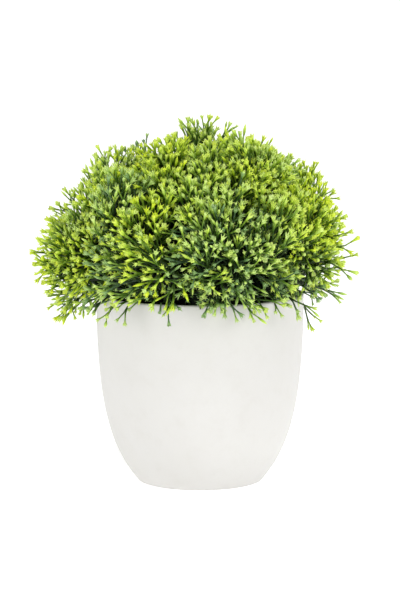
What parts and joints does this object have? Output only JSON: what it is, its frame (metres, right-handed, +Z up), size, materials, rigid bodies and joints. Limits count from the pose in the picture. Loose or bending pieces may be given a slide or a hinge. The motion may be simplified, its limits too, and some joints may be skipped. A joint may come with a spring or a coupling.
{
  "type": "artificial potted shrub",
  "caption": "Small artificial shrub: a dome of forked green plastic sprays on bendable stems, on a lift-out plug in a round-bottomed matt white pot.",
  "frame": {"origin": "centre of the pot's flat base, on the surface that it stands on", "axes": "+Z up along the pot's axis; -Y towards the viewer of the front view; +X to the viewer's right"},
  "size_m": [0.2026, 0.2093, 0.2329],
  "materials": {
    "pot_shell": "matt off-white moulding with faint mottling",
    "plaster": "cast plaster",
    "black_plastic": "satin black moulding",
    "foam": "dry floral foam",
    "dark_dressing": "crumbly dark top dressing",
    "trunk_green": "satin moulding",
    "steel_wire": "drawn wire",
    "stem_green": "satin moulding over wire",
    "foliage_green": "satin moulding, blue-green stems to yellow-green tips"
  },
  "bodies": {
    "pot_body": {"pot": "pot_shell", "ballast_puck": "plaster"},
    "plant": {"liner_cup": "black_plastic", "foam_core": "foam", "soil_dressing": "dark_dressing", "trunk_post": "trunk_green", "trunk_wire": "steel_wire", "collar_low": "trunk_green", "collar_middle": "trunk_green", "collar_upper": "trunk_green"},
    "branch_low_1": {"stem_low_1": "stem_green", "spray_low_1": "foliage_green"},
    "branch_low_2": {"stem_low_2": "stem_green", "spray_low_2": "foliage_green"},
    "branch_low_3": {"stem_low_3": "stem_green", "spray_low_3": "foliage_green"},
    "branch_low_4": {"stem_low_4": "stem_green", "spray_low_4": "foliage_green"},
    "branch_low_5": {"stem_low_5": "stem_green", "spray_low_5": "foliage_green"},
    "branch_low_6": {"stem_low_6": "stem_green", "spray_low_6": "foliage_green"},
    "branch_low_7": {"stem_low_7": "stem_green", "spray_low_7": "foliage_green"},
    "branch_low_8": {"stem_low_8": "stem_green", "spray_low_8": "foliage_green"},
    "branch_low_9": {"stem_low_9": "stem_green", "spray_low_9": "foliage_green"},
    "branch_middle_1": {"stem_middle_1": "stem_green", "spray_middle_1": "foliage_green"},
    "branch_middle_2": {"stem_middle_2": "stem_green", "spray_middle_2": "foliage_green"},
    "branch_middle_3": {"stem_middle_3": "stem_green", "spray_middle_3": "foliage_green"},
    "branch_middle_4": {"stem_middle_4": "stem_green", "spray_middle_4": "foliage_green"},
    "branch_middle_5": {"stem_middle_5": "stem_green", "spray_middle_5": "foliage_green"},
    "branch_middle_6": {"stem_middle_6": "stem_green", "spray_middle_6": "foliage_green"},
    "branch_middle_7": {"stem_middle_7": "stem_green", "spray_middle_7": "foliage_green"},
    "branch_middle_8": {"stem_middle_8": "stem_green", "spray_middle_8": "foliage_green"},
    "branch_upper_1": {"stem_upper_1": "stem_green", "spray_upper_1": "foliage_green"},
    "branch_upper_2": {"stem_upper_2": "stem_green", "spray_upper_2": "foliage_green"},
    "branch_upper_3": {"stem_upper_3": "stem_green", "spray_upper_3": "foliage_green"},
    "branch_upper_4": {"stem_upper_4": "stem_green", "spray_upper_4": "foliage_green"},
    "branch_upper_5": {"stem_upper_5": "stem_green", "spray_upper_5": "foliage_green"},
    "branch_top": {"stem_top": "stem_green", "spray_top": "foliage_green"}
  },
  "joints": [
    {"name": "plant_lift", "type": "slide", "parent": "pot_body", "child": "plant", "axis": [0, 0, 1], "range_m": [0, 0.1]},
    {"name": "bend_low_1", "type": "hinge", "parent": "plant", "child": "branch_low_1", "pos_m": [0.01146, 0.001, 0.128], "axis": [0.0866, -0.9962, 0], "range_deg": [-4, 5]},
    {"name": "bend_low_2", "type": "hinge", "parent": "plant", "child": "branch_low_2", "pos_m": [0.00826, 0.008, 0.128], "axis": [0.6955, -0.7186, 0], "range_deg": [-4, 5]},
    {"name": "bend_low_3", "type": "hinge", "parent": "plant", "child": "branch_low_3", "pos_m": [0.00141, 0.01141, 0.128], "axis": [0.9924, -0.1229, 0], "range_deg": [-4, 5]},
    {"name": "bend_low_4", "type": "hinge", "parent": "plant", "child": "branch_low_4", "pos_m": [-0.00668, 0.00936, 0.128], "axis": [0.8141, 0.5807, 0], "range_deg": [-4, 5]},
    {"name": "bend_low_5", "type": "hinge", "parent": "plant", "child": "branch_low_5", "pos_m": [-0.01099, 0.00339, 0.128], "axis": [0.2948, 0.9555, 0], "range_deg": [-4, 5]},
    {"name": "bend_low_6", "type": "hinge", "parent": "plant", "child": "branch_low_6", "pos_m": [-0.01049, -0.00471, 0.128], "axis": [-0.4098, 0.9122, 0], "range_deg": [-4, 5]},
    {"name": "bend_low_7", "type": "hinge", "parent": "plant", "child": "branch_low_7", "pos_m": [-0.00488, -0.01041, 0.128], "axis": [-0.9053, 0.4248, 0], "range_deg": [-4, 5]},
    {"name": "bend_low_8", "type": "hinge", "parent": "plant", "child": "branch_low_8", "pos_m": [0.0025, -0.01123, 0.128], "axis": [-0.9762, -0.217, 0], "range_deg": [-4, 5]},
    {"name": "bend_low_9", "type": "hinge", "parent": "plant", "child": "branch_low_9", "pos_m": [0.00945, -0.00655, 0.128], "axis": [-0.5693, -0.8221, 0], "range_deg": [-4, 5]},
    {"name": "bend_middle_1", "type": "hinge", "parent": "plant", "child": "branch_middle_1", "pos_m": [0.01085, 0.00381, 0.1383], "axis": [0.3315, -0.9435, 0], "range_deg": [-5, 5]},
    {"name": "bend_middle_2", "type": "hinge", "parent": "plant", "child": "branch_middle_2", "pos_m": [0.00461, 0.01054, 0.1383], "axis": [0.9163, -0.4005, 0], "range_deg": [-5, 5]},
    {"name": "bend_middle_3", "type": "hinge", "parent": "plant", "child": "branch_middle_3", "pos_m": [-0.00367, 0.0109, 0.1383], "axis": [0.9478, 0.3189, 0], "range_deg": [-5, 5]},
    {"name": "bend_middle_4", "type": "hinge", "parent": "plant", "child": "branch_middle_4", "pos_m": [-0.01048, 0.00474, 0.1383], "axis": [0.4118, 0.9113, 0], "range_deg": [-5, 5]},
    {"name": "bend_middle_5", "type": "hinge", "parent": "plant", "child": "branch_middle_5", "pos_m": [-0.01078, -0.00401, 0.1383], "axis": [-0.3486, 0.9373, 0], "range_deg": [-5, 5]},
    {"name": "bend_middle_6", "type": "hinge", "parent": "plant", "child": "branch_middle_6", "pos_m": [-0.00509, -0.01031, 0.1383], "axis": [-0.8967, 0.4427, 0], "range_deg": [-5, 5]},
    {"name": "bend_middle_7", "type": "hinge", "parent": "plant", "child": "branch_middle_7", "pos_m": [0.00421, -0.0107, 0.1383], "axis": [-0.9306, -0.3661, 0], "range_deg": [-5, 5]},
    {"name": "bend_middle_8", "type": "hinge", "parent": "plant", "child": "branch_middle_8", "pos_m": [0.01035, -0.00502, 0.1383], "axis": [-0.4368, -0.8996, 0], "range_deg": [-5, 5]},
    {"name": "bend_upper_1", "type": "hinge", "parent": "plant", "child": "branch_upper_1", "pos_m": [0.00732, 0.00887, 0.1486], "axis": [0.7716, -0.6361, 0], "range_deg": [-5, 3]},
    {"name": "bend_upper_2", "type": "hinge", "parent": "plant", "child": "branch_upper_2", "pos_m": [-0.00661, 0.00941, 0.1486], "axis": [0.8182, 0.5749, 0], "range_deg": [-5, 3]},
    {"name": "bend_upper_3", "type": "hinge", "parent": "plant", "child": "branch_upper_3", "pos_m": [-0.01106, -0.00315, 0.1486], "axis": [-0.2739, 0.9618, 0], "range_deg": [-5, 3]},
    {"name": "bend_upper_4", "type": "hinge", "parent": "plant", "child": "branch_upper_4", "pos_m": [-0.00059, -0.01149, 0.1486], "axis": [-0.9987, 0.0512, 0], "range_deg": [-5, 3]},
    {"name": "bend_upper_5", "type": "hinge", "parent": "plant", "child": "branch_upper_5", "pos_m": [0.0109, -0.00365, 0.1486], "axis": [-0.3176, -0.9482, 0], "range_deg": [-5, 3]},
    {"name": "bend_top", "type": "hinge", "parent": "plant", "child": "branch_top", "pos_m": [0, 0, 0.1589], "axis": [0, -1, 0], "range_deg": [-3, 3]}
  ]
}
